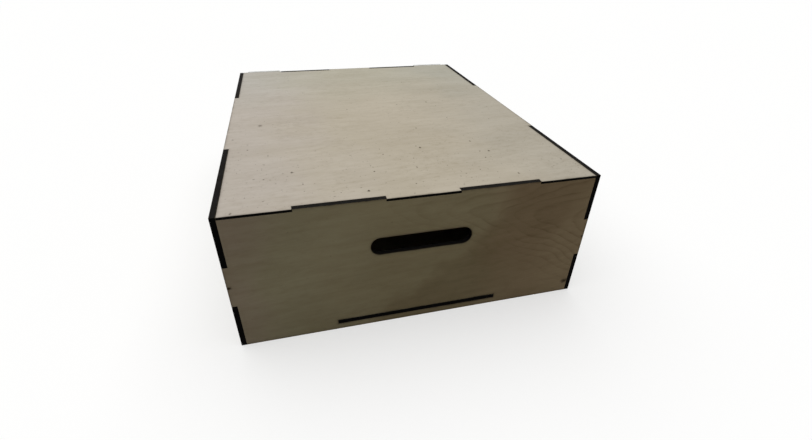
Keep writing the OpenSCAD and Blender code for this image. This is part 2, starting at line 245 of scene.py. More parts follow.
def recalculate(piece, merge=0.00001):
    # doubles and slivers go, and the faces point outwards
    editAll(piece)
    bpy.ops.mesh.remove_doubles(threshold=merge)
    bpy.ops.mesh.dissolve_degenerate(threshold=merge)
    bpy.ops.mesh.normals_make_consistent(inside=False)
    bpy.ops.object.mode_set(mode="OBJECT")


def tubeAlong(name, spots, radius, roundness, widths=None):
    # a round tube through the spots, closed at both ends
    curve = bpy.data.curves.new(name, "CURVE")
    curve.dimensions = "3D"
    spline = curve.splines.new("POLY")
    spline.points.add(len(spots) - 1)
    for i, spot in enumerate(spots):
        spline.points[i].co = (*spot, 1)
        if widths:
            spline.points[i].radius = widths[i]
    curve.bevel_depth = radius
    curve.bevel_resolution = roundness
    curve.use_fill_caps = True
    only(newObject(name, curve))
    bpy.ops.object.convert(target="MESH")
    tube = bpy.context.object
    recalculate(tube)
    return tube


# The camera stands close in front, high and a little to the left
cameraSetup = {
    "place": (-0.1054, -0.5524, 0.3363),
    "turn": (57.235, -1.243, -14.659),  # degrees
    "lens": 19.27,          # mm, as the frame's width is
    "frameWidth": 36,
    "clipStart": 0.01,
}
camera = newObject("viewCamera", bpy.data.cameras.new("viewCamera"))
camera.location = cameraSetup["place"]
camera.rotation_euler = [math.radians(a) for a in cameraSetup["turn"]]
camera.data.lens = cameraSetup["lens"]
camera.data.sensor_width = cameraSetup["frameWidth"]
camera.data.clip_start = cameraSetup["clipStart"]
bpy.context.scene.camera = camera

# Places of the frame that the looks need, in metres
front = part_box("front_panel")
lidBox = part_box("lid_panel")
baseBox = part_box("spring_base")
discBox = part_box("upper_disc")
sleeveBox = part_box("jack_sleeve")
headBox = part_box("head")
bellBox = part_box("hat_bells")
caseFront = front[0][1]
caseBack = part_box("back_panel")[1][1]
caseMid = (caseFront + caseBack) / 2
caseTop = lidBox[1][2]
seat = lidBox[0][2]
ply = front[1][1] - front[0][1]
halfWidth = lidBox[1][0]


def aroundDoll(radius, angle, z):
    return (radius * math.cos(angle), caseMid + radius * math.sin(angle), z)


# Shader groups that several materials share
skinOutputs = [("Color", "Color"), ("Height", "Float"), ("Roughness", "Float")]


def makeOutlineGroup():
    # how near a point is to the outline of a round-cornered box in the sheet's plane
    tree, given, result = newGroup("scorchedOutline", [
        ("Point", "Vector"), ("Centre", "Vector"), ("Half", "Vector"), ("Radius", "Float", 0),
        ("Width", "Float", 0.001)], [("Halo", "Float")])
    away = vectorCalc(tree, "ABSOLUTE", vectorCalc(tree, "SUBTRACT", given["Point"], given["Centre"]))
    corner = combine(tree, given["Radius"], given["Radius"])
    past = vectorCalc(tree, "SUBTRACT", away, vectorCalc(tree, "SUBTRACT", given["Half"], corner))
    parts = split(tree, past)
    outside = vectorCalc(tree, "MULTIPLY", vectorCalc(tree, "MAXIMUM", past, (0, 0, 0)), (1, 1, 0))
    far = vectorCalc(tree, "LENGTH", outside, out="Value")
    inside = calc(tree, "MINIMUM", calc(tree, "MAXIMUM", parts["X"], parts["Y"]), 0)
    signed = less(tree, plus(tree, far, inside), given["Radius"])
    steps = calc(tree, "DIVIDE", calc(tree, "ABSOLUTE", signed), given["Width"])
    fill(tree, result, {"Halo": calc(tree, "POWER", math.e, times(tree, steps, -1))})
    return tree


veneer = {
    "ringsPerMetre": 40,
    "armSlope": 2.7,
    "armTilt": 0.19,
    "tipRadius": 0.024,
    "sway": 2.7,            # in rings, as the ripple is
    "ripple": 0.26,
    "toneShare": 0.42,
    "flameShare": 0.75,
    "cellsPerMetre": 58,    # each may hold a speck
    "emptyCells": 0.66,
    "largestSpeck": 0.062,  # of a cell
    "speck": srgb(58, 46, 34),
}


def makeVeneerGroup():
    # birch face veneer: X runs along the grain and Y across it, in metres
    tree, given, result = newGroup("birchVeneer", [
        ("Point", "Vector"), ("Pale", "Color"), ("Dark", "Color"), ("Flame", "Float", 0.5),
        ("Flame centre", "Vector"), ("Slant", "Float", 0), ("Mottle", "Float", 0.5),
        ("Flecks", "Float", 0.5)], skinOutputs)
    # the grain climbs a little along the sheet
    flat = split(tree, given["Point"])
    climb = times(tree, flat["X"], given["Slant"])
    point = combine(tree, flat["X"], less(tree, flat["Y"], climb), flat["Z"])
    # growth rings cut at a shallow angle: rounded arrow heads in a row, tips towards -X
    toCentre = split(tree, vectorCalc(tree, "SUBTRACT", given["Point"], given["Flame centre"]))
    offAxis = plus(tree, toCentre["Y"], times(tree, toCentre["X"], veneer["armTilt"]))
    arms = calc(tree, "POWER", times(tree, offAxis, veneer["armSlope"]), 2)
    reach = less(tree, calc(tree, "SQRT", plus(tree, arms, veneer["tipRadius"] ** 2)), toCentre["X"])
    sway = times(tree, noiseField(tree, point, 20, 1, 0.4, (0.8, 1.5, 1)), veneer["sway"])
    ripple = times(tree, noiseField(tree, point, 110, 1, 0.4, (0.5, 1.3, 1)), veneer["ripple"])
    rings = plus(tree, times(tree, reach, veneer["ringsPerMetre"]), plus(tree, sway, ripple))
    season = calc(tree, "FRACT", rings)
    lateWood = times(tree, calc(tree, "POWER", season, 4), remap(tree, season, 1, 0.86))
    near = remap(tree, reach, 0.26, 0.07, 0.06, 1)
    patches = remap(tree, noiseField(tree, point, 26, 2, 0.5, (0.6, 1.6, 1)), 0.36, 0.58, 0.3, 1)
    flame = times(tree, times(tree, lateWood, near), times(tree, patches, given["Flame"]))
    # fine fibres, longer streaks, short blotches and a slow cloudy tone
    fibre = noiseField(tree, point, 60, 5, 0.65, (0.8, 11, 4))
    streak = noiseField(tree, point, 30, 3, 0.6, (0.7, 5, 4))
    mottle = noiseField(tree, point, 190, 3, 0.65, (0.5, 1, 1))
    cloud = noiseField(tree, point, 11, 4, 0.55, (0.7, 1.6, 1))
    tone = plus(tree, times(tree, fibre, 0.2), times(tree, cloud, 0.5))
    tone = remap(tree, plus(tree, tone, times(tree, streak, 0.3)), 0.3, 0.7)
    worn = remap(tree, noiseField(tree, point, 18), 0.35, 0.65, 0.35, 1)
    blotch = times(tree, remap(tree, mottle, 0.42, 0.72), times(tree, worn, given["Mottle"]))
    # short rays, and dark specks in some of the cells
    rays = remap(tree, noiseField(tree, point, 330, 1, 0.4, (0.35, 2.2, 1)), 0.66, 0.8)
    cells = addNode(tree, "TexVoronoi", {"Vector": point, "Scale": veneer["cellsPerMetre"]},
                    {"voronoi_dimensions": "2D"}).outputs
    lot = addNode(tree, "SeparateColor", {0: cells["Color"]}).outputs
    ragged = times(tree, noiseField(tree, point, 900, 2, 0.6), 0.05)
    size = remap(tree, lot["Red"], veneer["emptyCells"], 1, 0, veneer["largestSpeck"], False)
    specks = remap(tree, less(tree, plus(tree, cells["Distance"], ragged), size), 0.03, 0)
    specks = times(tree, specks, remap(tree, lot["Green"], 0, 1, 0.3, 1))
    dust = remap(tree, noiseField(tree, point, 420, 1), 0.68, 0.8, 0, 0.45)
    specks = times(tree, calc(tree, "MAXIMUM", specks, dust), given["Flecks"])
    flecks = times(tree, rays, times(tree, given["Flecks"], 0.3))
    dark = plus(tree, times(tree, tone, veneer["toneShare"]), times(tree, flame, veneer["flameShare"]))
    dark = plus(tree, dark, plus(tree, blotch, flecks), clamp=True)
    colour = mixColour(tree, dark, given["Pale"], given["Dark"])
    fill(tree, result, {
        "Color": mixColour(tree, specks, colour, veneer["speck"]),
        "Height": less(tree, times(tree, fibre, 0.5), plus(tree, flecks, specks)),
        "Roughness": remap(tree, fibre, 0.2, 0.8, 0.66, 0.84, False)})
    return tree


charLook = {
    "soot": srgb(27, 25, 23),
    "glow": srgb(46, 38, 30),
    "ribs": srgb(18, 17, 16),
    "standing": (0.26, 0.26, 0.26, 1),  # the light left on an upright edge
}


def makeCharGroup():
    # a laser-cut edge: soot over five plies, Depth from 0 to 1 through the sheet
    tree, given, result = newGroup("charredPlies", [
        ("Point", "Vector"), ("Depth", "Float", 0.5), ("Upward", "Float", 0), ("Plies", "Float", 5)],
        skinOutputs)
    layer = calc(tree, "PINGPONG", times(tree, given["Depth"], given["Plies"]), 1)
    ribs = noiseField(tree, given["Point"], 900)
    soot = noiseField(tree, given["Point"], 90, 4, 0.6)
    glow = times(tree, remap(tree, soot, 0.45, 0.8), remap(tree, layer, 0.35, 0.9))
    colour = mixColour(tree, glow, charLook["soot"], charLook["glow"])
    colour = mixColour(tree, remap(tree, ribs, 0.3, 0.7), colour, charLook["ribs"])
    # painted shade: an upright edge is darkened, as less of the light from above reaches it, and an edge
    # facing up keeps the char's own colour
    uprightShaded = mixColour(tree, 1, colour, charLook["standing"], "MULTIPLY")
    fill(tree, result, {
        "Color": mixColour(tree, remap(tree, given["Upward"], 0.4, 0.9), uprightShaded, colour),
        "Height": plus(tree, times(tree, layer, 0.5), ribs),
        "Roughness": remap(tree, soot, 0.3, 0.7, 0.62, 0.85, False)})
    return tree


def makeMetalGroup():
    # plated steel: brushed lines, dull clouds and a few rub marks
    tree, given, result = newGroup("platedSteel", [
        ("Point", "Vector"), ("Bright", "Color"), ("Dull", "Color"), ("Rough", "Float", 0.3)], skinOutputs)
    lines = noiseField(tree, given["Point"], 300, 3, 0.6, (0.15, 6, 6))
    clouds = noiseField(tree, given["Point"], 70, 4, 0.6)
    rough = plus(tree, given["Rough"], times(tree, less(tree, clouds, 0.5), 0.22))
    fill(tree, result, {
        "Color": mixColour(tree, remap(tree, clouds, 0.35, 0.7), given["Bright"], given["Dull"]),
        "Height": lines,
        "Roughness": plus(tree, rough, times(tree, lines, 0.08), clamp=True)})
    return tree


outlineGroup = makeOutlineGroup()
veneerGroup = makeVeneerGroup()
charGroup = makeCharGroup()
metalGroup = makeMetalGroup()
print("shader groups made")

# Plywood: each sheet lies across one axis and has its grain along another
plyLook = {
    # the panels' colours are darker than the lid's: partly their own sheet, and partly painted shade, as
    # upright panels get less of the light from above
    "panelPaleShaded": srgb(160, 148, 116),
    "panelDarkShaded": srgb(115, 101, 72),
    "lidPale": srgb(192, 183, 166),
    "lidDark": srgb(158, 147, 126),
    "scorch": srgb(40, 30, 21),
    "mark": srgb(62, 50, 36),
    "haloWidth": 0.0009,
    "edgeSkin": 0.012,      # share of the thickness at which the char begins
    "slant": 0.07,
    "gloss": 0.02,
}
orders = {                  # which of X, Y, Z is along the grain, across it, and through the sheet
    "front": ("X", "Z", "Y"),
    "side": ("Y", "Z", "X"),
    "flat": ("X", "Y", "Z"),
}


def plyMaterial(name, order, low, high, outlines, colours, flame=0.5, flameCentre=(0, 0), flecks=0.4,
                mottle=0.12, marks=(), tintsAndShadows=(), dusty=None, markShape=(0.8, 1.2, 0)):
    material, tree, shader, place = newMaterial(name)
    parts = split(tree, place)
    along, across, through = (parts[axis] for axis in orders[order])
    point = combine(tree, along, across, through)
    depth = remap(tree, through, low, high, smooth=False)
    rim = calc(tree, "MINIMUM", depth, less(tree, 1, depth))
    edge = remap(tree, rim, plyLook["edgeSkin"] / 4, plyLook["edgeSkin"])
    if dusty:
        # specks gather towards one edge: where that begins, where it is full, and how strongly
        flecks = remap(tree, across, dusty[0], dusty[1], flecks, flecks * dusty[2])
    face = useGroup(tree, veneerGroup, {
        "Point": point, "Pale": colours[0], "Dark": colours[1], "Flame": flame,
        "Flame centre": (*flameCentre, 0), "Slant": plyLook["slant"], "Mottle": mottle, "Flecks": flecks})
    upward = split(tree, addNode(tree, "TexCoord").outputs["Normal"])["Z"]
    char = useGroup(tree, charGroup, {"Point": place, "Depth": depth, "Upward": upward})
    halo = None
    for centre, half, radius in outlines:
        one = useGroup(tree, outlineGroup, {
            "Point": point, "Centre": (*centre, 0), "Half": (*half, 0), "Radius": radius,
            "Width": plyLook["haloWidth"]})["Halo"]
        halo = one if halo is None else calc(tree, "MAXIMUM", halo, one)
    smoke = noiseField(tree, place, 55, 4, 0.6)
    halo = times(tree, halo, remap(tree, smoke, 0.3, 0.75, 0.35, 1))
    colour = face["Color"]
    wander = times(tree, less(tree, noiseField(tree, point, 14, 3), 0.5), 0.12)
    for direction, start, full, tint in tintsAndShadows:
        # a slow change of colour across the sheet; on the front, the diagonal pair is a painted shadow
        way = vectorCalc(tree, "DOT_PRODUCT", point, (*direction, 0), out="Value")
        share = remap(tree, plus(tree, way, wander), start, full)
        colour = mixColour(tree, share, colour, (*tint, 1), "MULTIPLY")
    height = face["Height"]
    for x, y, size, strength in marks:
        # a knot, a spot of resin or a burn, ragged at its rim
        away = vectorCalc(tree, "MULTIPLY", vectorCalc(tree, "SUBTRACT", point, (x, y, 0)), markShape)
        apart = vectorCalc(tree, "LENGTH", away, out="Value")
        ragged = times(tree, noiseField(tree, place, 700, 2, 0.6), size * 1.2)
        spot = remap(tree, plus(tree, apart, ragged), size * 1.7, size * 0.7, 0, strength)
        colour = mixColour(tree, spot, colour, plyLook["mark"])
        height = less(tree, height, spot)
    colour = mixColour(tree, halo, colour, plyLook["scorch"])
    fill(tree, shader.inputs, {
        "Base Color": mixColour(tree, edge, colour, char["Color"]),
        "Roughness": mixNumber(tree, edge, face["Roughness"], char["Roughness"]),
        "Normal": bumped(tree, mixNumber(tree, edge, height, char["Height"]), 0.22, 0.0003),
        "Specular IOR Level": plyLook["gloss"]})
    return material


def oblong(low, high):
    # an outline from two corners: its centre, its half size and its corner radius
    centre = [(a + b) / 2 for a, b in zip(low, high)]
    return centre, [(b - a) / 2 for a, b in zip(low, high)], 0


# The joints' layout, as the case has it
joints = {
    "midFinger": 0.07,      # between the two that show on top
    "topFinger": 0.08,
    "sideFinger": 0.138,    # at each end
    "slot": (0.1, 0.019),
    "slotDrop": 0.05,       # from the lid's top
    "endTab": 0.17,         # of the floor
    "sideTab": 0.2,
    "floorLift": 0.007,
}
fingerX = (joints["midFinger"] + joints["topFinger"]) / 2
halfFinger = joints["topFinger"] / 2
halfSideFinger = joints["sideFinger"] / 2
halfEndTab = joints["endTab"] / 2
halfSideTab = joints["sideTab"] / 2
slotLength, slotHeight = joints["slot"]
floorLow = joints["floorLift"]
floorTop = floorLow + ply

slotOutline = ((0, caseTop - joints["slotDrop"]), (slotLength / 2, slotHeight / 2), slotHeight / 2)
tabOutline = oblong((-halfEndTab, floorLow), (halfEndTab, floorTop))
sideTabOutline = oblong((caseMid - halfSideTab, floorLow), (caseMid + halfSideTab, floorTop))
floorOutline = oblong((-halfWidth + ply, caseFront + ply), (halfWidth - ply, caseBack - ply))
endOutlines = [oblong((-halfWidth, 0), (halfWidth, caseTop)), slotOutline, tabOutline]
sideOutlines = [oblong((caseFront, 0), (caseBack, caseTop)), sideTabOutline]
lidOutlines = [oblong((-halfWidth, caseFront), (halfWidth, caseBack))]
for s in (-1, 1):
    for y in (caseFront + ply / 2, caseBack - ply / 2):
        lidOutlines.append(((s * fingerX, y), (halfFinger, ply / 2), 0))
    for y in (caseFront + halfSideFinger, caseBack - halfSideFinger):
        lidOutlines.append(((s * (halfWidth - ply / 2), y), (ply / 2, halfSideFinger), 0))

panelColoursWithShade = (plyLook["panelPaleShaded"], plyLook["panelDarkShaded"])
lidColours = (plyLook["lidPale"], plyLook["lidDark"])
frontMarks = [              # across, up, size and strength
    (-0.1785, 0.073, 0.0029, 1),
    (0.179, 0.0745, 0.0021, 1),
    (0.1715, 0.014, 0.005, 0.9),
    (-0.03, 0.122, 0.0012, 0.35),
]
lidMarks = [                # from the front edge's middle: across, back, size and strength
    (-0.1441, 0.2020, 0.0042, 0.55),
    (-0.0471, 0.0177, 0.0019, 1.00),
    (-0.1125, 0.0689, 0.0019, 0.80),
    (0.0953, 0.0777, 0.0019, 0.95),
    (0.0248, 0.1012, 0.0020, 0.95),
    (0.0215, 0.1060, 0.0013, 0.60),
    (0.0083, 0.0553, 0.0016, 0.80),
    (0.1023, 0.0215, 0.0017, 0.75),
    (0.0854, 0.1072, 0.0017, 0.70),
    (0.0773, 0.2519, 0.0022, 0.55),
    (0.0364, 0.1584, 0.0017, 0.55),
    (0.1620, 0.0427, 0.0016, 0.60),
    (-0.1637, 0.0036, 0.0019, 0.60),
]
lidMarks = [(x, caseFront + y, size, strength) for x, y, size, strength in lidMarks]
# direction in the sheet, where the change begins and where it is full, and the tint
frontTintsAndShadow = [
    ((1, 0), -0.03, -0.13, (1.02, 1.06, 1.12)),
    ((1, 0), -0.12, -0.19, (1.04, 0.97, 1.10)),
    ((1, 0), 0.02, 0.12, (1.04, 0.95, 0.97)),
    # painted shadow: these two lay a soft dark band across the lower middle, darker past the first edge and
    # lighter again past the second
    ((0.707, -0.707), -0.046, -0.02, (0.80, 0.76, 0.73)),
    ((0.707, -0.707), 0, 0.06, (1.17, 1.20, 1.24)),
    ((1, 0), 0.11, 0.165, (1.11, 1.13, 1.14)),
]
lidDrifts = [
    ((1, 0), -0.02, -0.17, (1.02, 1.03, 1.13)),
    ((1, 0), 0.02, 0.17, (0.90, 0.92, 0.95)),
    ((0, 1), -0.02, 0.20, (0.98, 1.03, 1.05)),
]

panels = {
    "front_panel": plyMaterial(
        "plyFront", "front", front[0][1], front[1][1], endOutlines, panelColoursWithShade, flame=0.76,
        flameCentre=(0.135, 0.106), flecks=0.2, marks=frontMarks, tintsAndShadows=frontTintsAndShadow),
    "back_panel": plyMaterial(
        "plyBack", "front", caseBack - ply, caseBack, endOutlines, panelColoursWithShade, flame=0.45,
        flameCentre=(0.06, 0.05), flecks=0.3),
    "left_panel": plyMaterial(
        "plyLeft", "side", -halfWidth, -halfWidth + ply, sideOutlines, panelColoursWithShade,
        flameCentre=(0.10, 0.09), flecks=0.3),
    "right_panel": plyMaterial(
        "plyRight", "side", halfWidth - ply, halfWidth, sideOutlines, panelColoursWithShade,
        flameCentre=(0.02, 0.05), flecks=0.3),
    "floor_panel": plyMaterial(
        "plyFloor", "flat", floorLow, floorTop, [floorOutline], lidColours, flameCentre=(0.08, 0.1)),
    "lid_panel": plyMaterial(
        "plyLid", "flat", seat, caseTop, lidOutlines, lidColours, flame=0.12, flameCentre=(0.3, -0.1),
        flecks=0.75, mottle=0.22, marks=lidMarks, tintsAndShadows=lidDrifts,
        dusty=(caseFront + 0.18, caseFront, 1.5), markShape=(1.3, 0.8, 0)),
}
for name, material in panels.items():
    wear(nodes[name], material)
print("plywood done")


# Discs cut from the same sheet, round the axis of the doll
def discMaterial(name, nodeBox):
    low, high = nodeBox
    radius = (high[0] - low[0]) / 2
    outline = ((0, caseMid), (radius, radius), radius)
    return plyMaterial(name, "flat", low[2], high[2], [outline], lidColours, flameCentre=(0.01, 0.02),
                       flecks=0.5)


wear(nodes["spring_base"], discMaterial("plyBase", baseBox))
wear(nodes["upper_disc"], discMaterial("plyDisc", discBox))


def solidWood(name, pale, dark, rough, stretch):
    # sawn or turned wood: the grain runs along the axis that is stretched least
    material, tree, shader, place = newMaterial(name)
    wander = noiseField(tree, place, 34, 2, 0.5, stretch)
    rings = calc(tree, "FRACT", times(tree, wander, 15))
    lateWood = calc(tree, "POWER", rings, 3)
    fibre = noiseField(tree, place, 190, 4, 0.65, stretch)
    pores = remap(tree, noiseField(tree, place, 700, 1, 0.5, stretch), 0.62, 0.78)
    tone = plus(tree, times(tree, lateWood, 0.34), times(tree, fibre, 0.62))
    tone = plus(tree, remap(tree, tone, 0.22, 0.95), times(tree, pores, 0.22), clamp=True)
    fill(tree, shader.inputs, {
        "Base Color": mixColour(tree, tone, pale, dark),
        "Roughness": remap(tree, fibre, 0.2, 0.8, rough - 0.06, rough + 0.1, False),
        "Normal": bumped(tree, less(tree, fibre, pores), 0.2, 0.0003)})
    return material, tree, shader, place


blockWood = solidWood("blockWood", srgb(206, 181, 140), srgb(168, 136, 95), 0.62, (0.16, 2.2, 2.2))[0]


# Metals
def metalMaterial(name, bright, dull, rough, bump=0.12):
    material, tree, shader, place = newMaterial(name)
    skin = useGroup(tree, metalGroup, {"Point": place, "Bright": bright, "Dull": dull, "Rough": rough})
    fill(tree, shader.inputs, {
        "Base Color": skin["Color"], "Roughness": skin["Roughness"], "Metallic": 1,
        "Normal": bumped(tree, skin["Height"], bump, 0.0001)})
    return material


zincSteel = metalMaterial("zincSteel", srgb(150, 151, 150), srgb(128, 128, 124), 0.42)
screwSteel = metalMaterial("screwSteel", srgb(168, 166, 160), srgb(138, 134, 124), 0.34)
springSteel = metalMaterial("springSteel", srgb(120, 122, 128), srgb(82, 82, 86), 0.3)
magnetNickel = metalMaterial("magnetNickel", srgb(206, 205, 201), srgb(188, 186, 182), 0.18, 0.05)
bellBrass = metalMaterial("bellBrass", srgb(222, 184, 98), srgb(178, 134, 60), 0.24)
for side in ("left", "right"):
    for part in ("case_leaf", "lid_leaf", "hinge_pin"):
        wear(nodes[f"{side}_{part}"], zincSteel)
    wear(nodes[f"{side}_strike_disc"], screwSteel)
    wear(nodes[f"{side}_magnet"], magnetNickel)
    wear(nodes[f"{side}_catch_block"], blockWood)
for end in ("lower", "upper"):
    wear(nodes[f"{end}_spring_clips"], screwSteel)
wear(nodes["hat_bells"], bellBrass)
print("metals done")

# Screws with a domed head and a cross recess
screws = {                  # the shank's radius, the head's radius and height, and the length
    "caseLeaf": (0.0012, 0.0024, 0.0012, 0.0048),
    "lidLeaf": (0.0012, 0.0024, 0.0012, 0.0028),
    "springBase": (0.00175, 0.0035, 0.0021, 0.0097),
}
recess = {                  # the cross in the head
    "length": 1.15,         # of the head's radius, as the width and the bevel are
    "width": 0.24,
    "bevel": 0.05,
    "depth": 1.1,           # of the head's height
}


def crossScrew(shankRadius, headRadius, headHeight, length):
    # head's underside at z = 0, thread upwards
    head = addBall(headRadius, (0, 0, 0), 32)
    head.scale.z = headHeight / headRadius
    settle(head)
    editAll(head)
    bpy.ops.mesh.bisect(plane_co=(0, 0, 0), plane_no=(0, 0, 1), use_fill=True, clear_outer=True)
    deselect()
    arms = []
    for turn in (0, 90):
        bpy.ops.mesh.primitive_cube_add(size=1, location=(0, 0, -headHeight))
        arm = bpy.context.object
        arm.scale = (headRadius * recess["length"], headRadius * recess["width"],
                     headHeight * recess["depth"])
        arm.rotation_euler.z = math.radians(turn)
        settle(arm)
        editAll(arm)
        bpy.ops.mesh.bevel(offset=headRadius * recess["bevel"], segments=1)
        deselect()
        arms.append(arm)
    for arm in arms:
        cutAway(head, arm)
    recalculate(head)
    deselect()
    bpy.ops.mesh.primitive_cylinder_add(vertices=20, radius=shankRadius, depth=length,
                                        location=(0, 0, length / 2))
    shank = bpy.context.object
    settle(shank)
    return joinAll([head, shank])


def placeScrews(kind, spots, direction, body, node):
    model = crossScrew(*screws[kind])
    copies = []
    turn = Vector((0, 0, 1)).rotation_difference(Vector(direction))
    for i, spot in enumerate(spots):
        copy = model.copy()
        copy.data = model.data.copy()
        bpy.context.collection.objects.link(copy)
        # no two crosses point the same way
        spin = Matrix.Rotation(math.radians(37 * i + 15), 4, "Z")
        copy.matrix_world = Matrix.Translation(spot) @ turn.to_matrix().to_4x4() @ spin
        settle(copy)
        copies.append(copy)
    group = joinAll(copies)
    finish(group, f"{kind}Screws", screwSteel, body, 30)
    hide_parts(node)
    bpy.data.objects.remove(model)


hinge = {
    "inset": 0.038,
    "length": 0.05,
    "reach": 0.032,
    "leaf": 0.001,
    "pinBehind": 0.0033,    # the pin's axis, behind the case
    "outerScrews": 0.34,    # of the length, from the middle
    "caseRows": (0.38, 0.78),   # outer and middle screws: down from the lid's seat, of the reach
    "lidRows": (0.5, 0.84),     # and forwards from the pin
}
baseScrewRing = 0.02
hingeX = halfWidth - hinge["inset"]
pinY = caseBack + hinge["pinBehind"]
spread = hinge["length"] * hinge["outerScrews"]
caseSpots = []
lidSpots = []
for s in (-1, 1):
    for x, row in ((-spread, 0), (spread, 0), (0, 1)):
        down = hinge["caseRows"][row] * hinge["reach"]
        forwards = hinge["lidRows"][row] * hinge["reach"]
        caseSpots.append((s * hingeX + x, caseBack + hinge["leaf"], seat - down))
        lidSpots.append((s * hingeX + x, pinY - forwards, seat - hinge["leaf"]))
baseSpots = [aroundDoll(baseScrewRing, math.radians(a), floorLow) for a in (90, 210, 330)]
placeScrews("caseLeaf", caseSpots, (0, -1, 0), "case", "case_leaf_screws")
placeScrews("lidLeaf", lidSpots, (0, 0, 1), "lid", "lid_leaf_screws")
placeScrews("springBase", baseSpots, (0, 0, 1), "case", "spring_base_screws")
print("screws done")

# The coil spring: level ends, and quarter turns between them, each a piece of its own
coil = {
    "radius": 0.034,
    "wire": 0.0016,
    "turns": 6,
    "levelEnd": 0.35,       # turns
    "pieces": 22,
    "sides": 14,
    "stepsPerTurn": 40,
}
coilLow = baseBox[1][2] + coil["wire"]
coilHigh = discBox[0][2] - coil["wire"]
climbTurns = coil["turns"] - 2 * coil["levelEnd"]


def coilPoint(turn):
    share = min(max((turn - coil["levelEnd"]) / climbTurns, 0), 1)
    return Vector(aroundDoll(coil["radius"], math.tau * turn, coilLow + share * (coilHigh - coilLow)))


def wirePiece(name, first, last, body=None):
    count = max(4, round((last - first) * coil["stepsPerTurn"]))
    sides = coil["sides"]
    points = []
    for i in range(count + 1):
        turn = first + (last - first) * i / count
        middle = coilPoint(turn)
        angle = math.tau * turn
        outward = Vector((math.cos(angle), math.sin(angle), 0))
        for k in range(sides):
            a = math.tau * k / sides
            points.append(middle + coil["wire"] * (math.cos(a) * outward + math.sin(a) * Vector((0, 0, 1))))
    faces = []
    for i in range(count):
        for k in range(sides):
            a = i * sides + k
            b = i * sides + (k + 1) % sides
            faces.append((a, a + sides, b + sides, b))
    faces.append(tuple(range(sides)))
    faces.append(tuple(range((count + 1) * sides - 1, count * sides - 1, -1)))
    piece = meshFrom(name, points, faces, springSteel, body)
    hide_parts("jack_spring")
    return piece


wirePiece("springLowEnd", 0, coil["levelEnd"], "case")
wirePiece("springHighEnd", coil["turns"] - coil["levelEnd"], coil["turns"], "jack")
pieceTurn = climbTurns / coil["pieces"]
for i in range(coil["pieces"]):
    first = coil["levelEnd"] + i * pieceTurn
    piece = wirePiece(f"springCoil{i + 1:02d}", first, first + pieceTurn)
    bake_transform(piece)
print("spring done")


# The sleeve: striped cotton in folds round the spring, held at the two discs
sleeve = {
    "folds": 20,
    "inner": 0.04,
    "outer": 0.0462,
    "across": 144,
    "perFold": 8,
    "gathers": 18,
    "gatherDepth": 0.0006,
    "creaseDepth": 0.0009,
    "wander": 2.6,          # radians of a fold
    "reach": 0.0468,        # no further from the axis than this
    "stripes": 12,
    "cream": srgb(232, 222, 198),
    "red": srgb(168, 44, 40),
}


def clothMaterial(name, colours, stripes, threads, hem=None):
    # woven cloth on the piece's own UV map, where U goes once round it and V once from end to end
    material, tree, shader, place = newMaterial(name)
    uv = addNode(tree, "UVMap", None, {"uv_map": "cut"}).outputs[0]
    parts = split(tree, uv)
    colour = colours[0]
    if stripes:
        phase = calc(tree, "FRACT", times(tree, parts["X"], stripes))
        stripe = times(tree, remap(tree, phase, 0, 0.02), remap(tree, phase, 0.52, 0.5))
        colour = mixColour(tree, stripe, colours[0], colours[1])
        thin = times(tree, remap(tree, phase, 0.74, 0.745), remap(tree, phase, 0.785, 0.78))
        colour = mixColour(tree, thin, colour, colours[1])
    warp = calc(tree, "SINE", times(tree, parts["X"], math.tau * threads[0]))
    weft = calc(tree, "SINE", times(tree, parts["Y"], math.tau * threads[1]))
    weave = times(tree, warp, weft)
    slub = noiseField(tree, uv, 60, 3, 0.6, (1, 7, 1))
    shade = plus(tree, times(tree, weave, 0.06), times(tree, slub, 0.5))
    relief = plus(tree, weave, slub)
    if hem:
        # a row of stitches, drawn in a little
        row = times(tree, remap(tree, parts["Y"], hem - 0.03, hem), remap(tree, parts["Y"], hem + 0.03, hem))
        stitch = calc(tree, "SINE", times(tree, parts["X"], math.tau * threads[0] * 0.7))
        stitches = times(tree, row, remap(tree, stitch, -0.4, 0.2))
        relief = less(tree, relief, times(tree, row, 2))
        shade = less(tree, shade, times(tree, stitches, 0.35))
    shadow = remap(tree, shade, 0.1, 0.45, 0.75, 0)
    fill(tree, shader.inputs, {
        "Base Color": mixColour(tree, shadow, colour, (0.6, 0.58, 0.56, 1), "MULTIPLY"),
        "Roughness": 0.88, "Sheen Weight": 0.4, "Sheen Roughness": 0.5,
        "Normal": bumped(tree, relief, 0.35, 0.0002)})
    return material


def gridCloth(name, rows, columns, pointAt, material, body):
    # a cloth that closes round its axis, from a grid of points, with a UV map named cut
    points = [pointAt(i / rows, k / columns) for i in range(rows + 1) for k in range(columns)]
    faces = []
    cuts = []
    for i in range(rows):
        for k in range(columns):
            a = i * columns + k
            b = i * columns + (k + 1) % columns
            faces.append((a, b, b + columns, a + columns))
            corners = ((k, i), (k + 1, i), (k + 1, i + 1), (k, i + 1))
            cuts.append([(x / columns, y / rows) for x, y in corners])
    piece = meshFrom(name, points, faces, material, body)
    layer = piece.data.uv_layers.new(name="cut")
    for polygon, cut in zip(piece.data.polygons, cuts):
        for loop, place in zip(polygon.loop_indices, cut):
            layer.data[loop].uv = place
    return piece


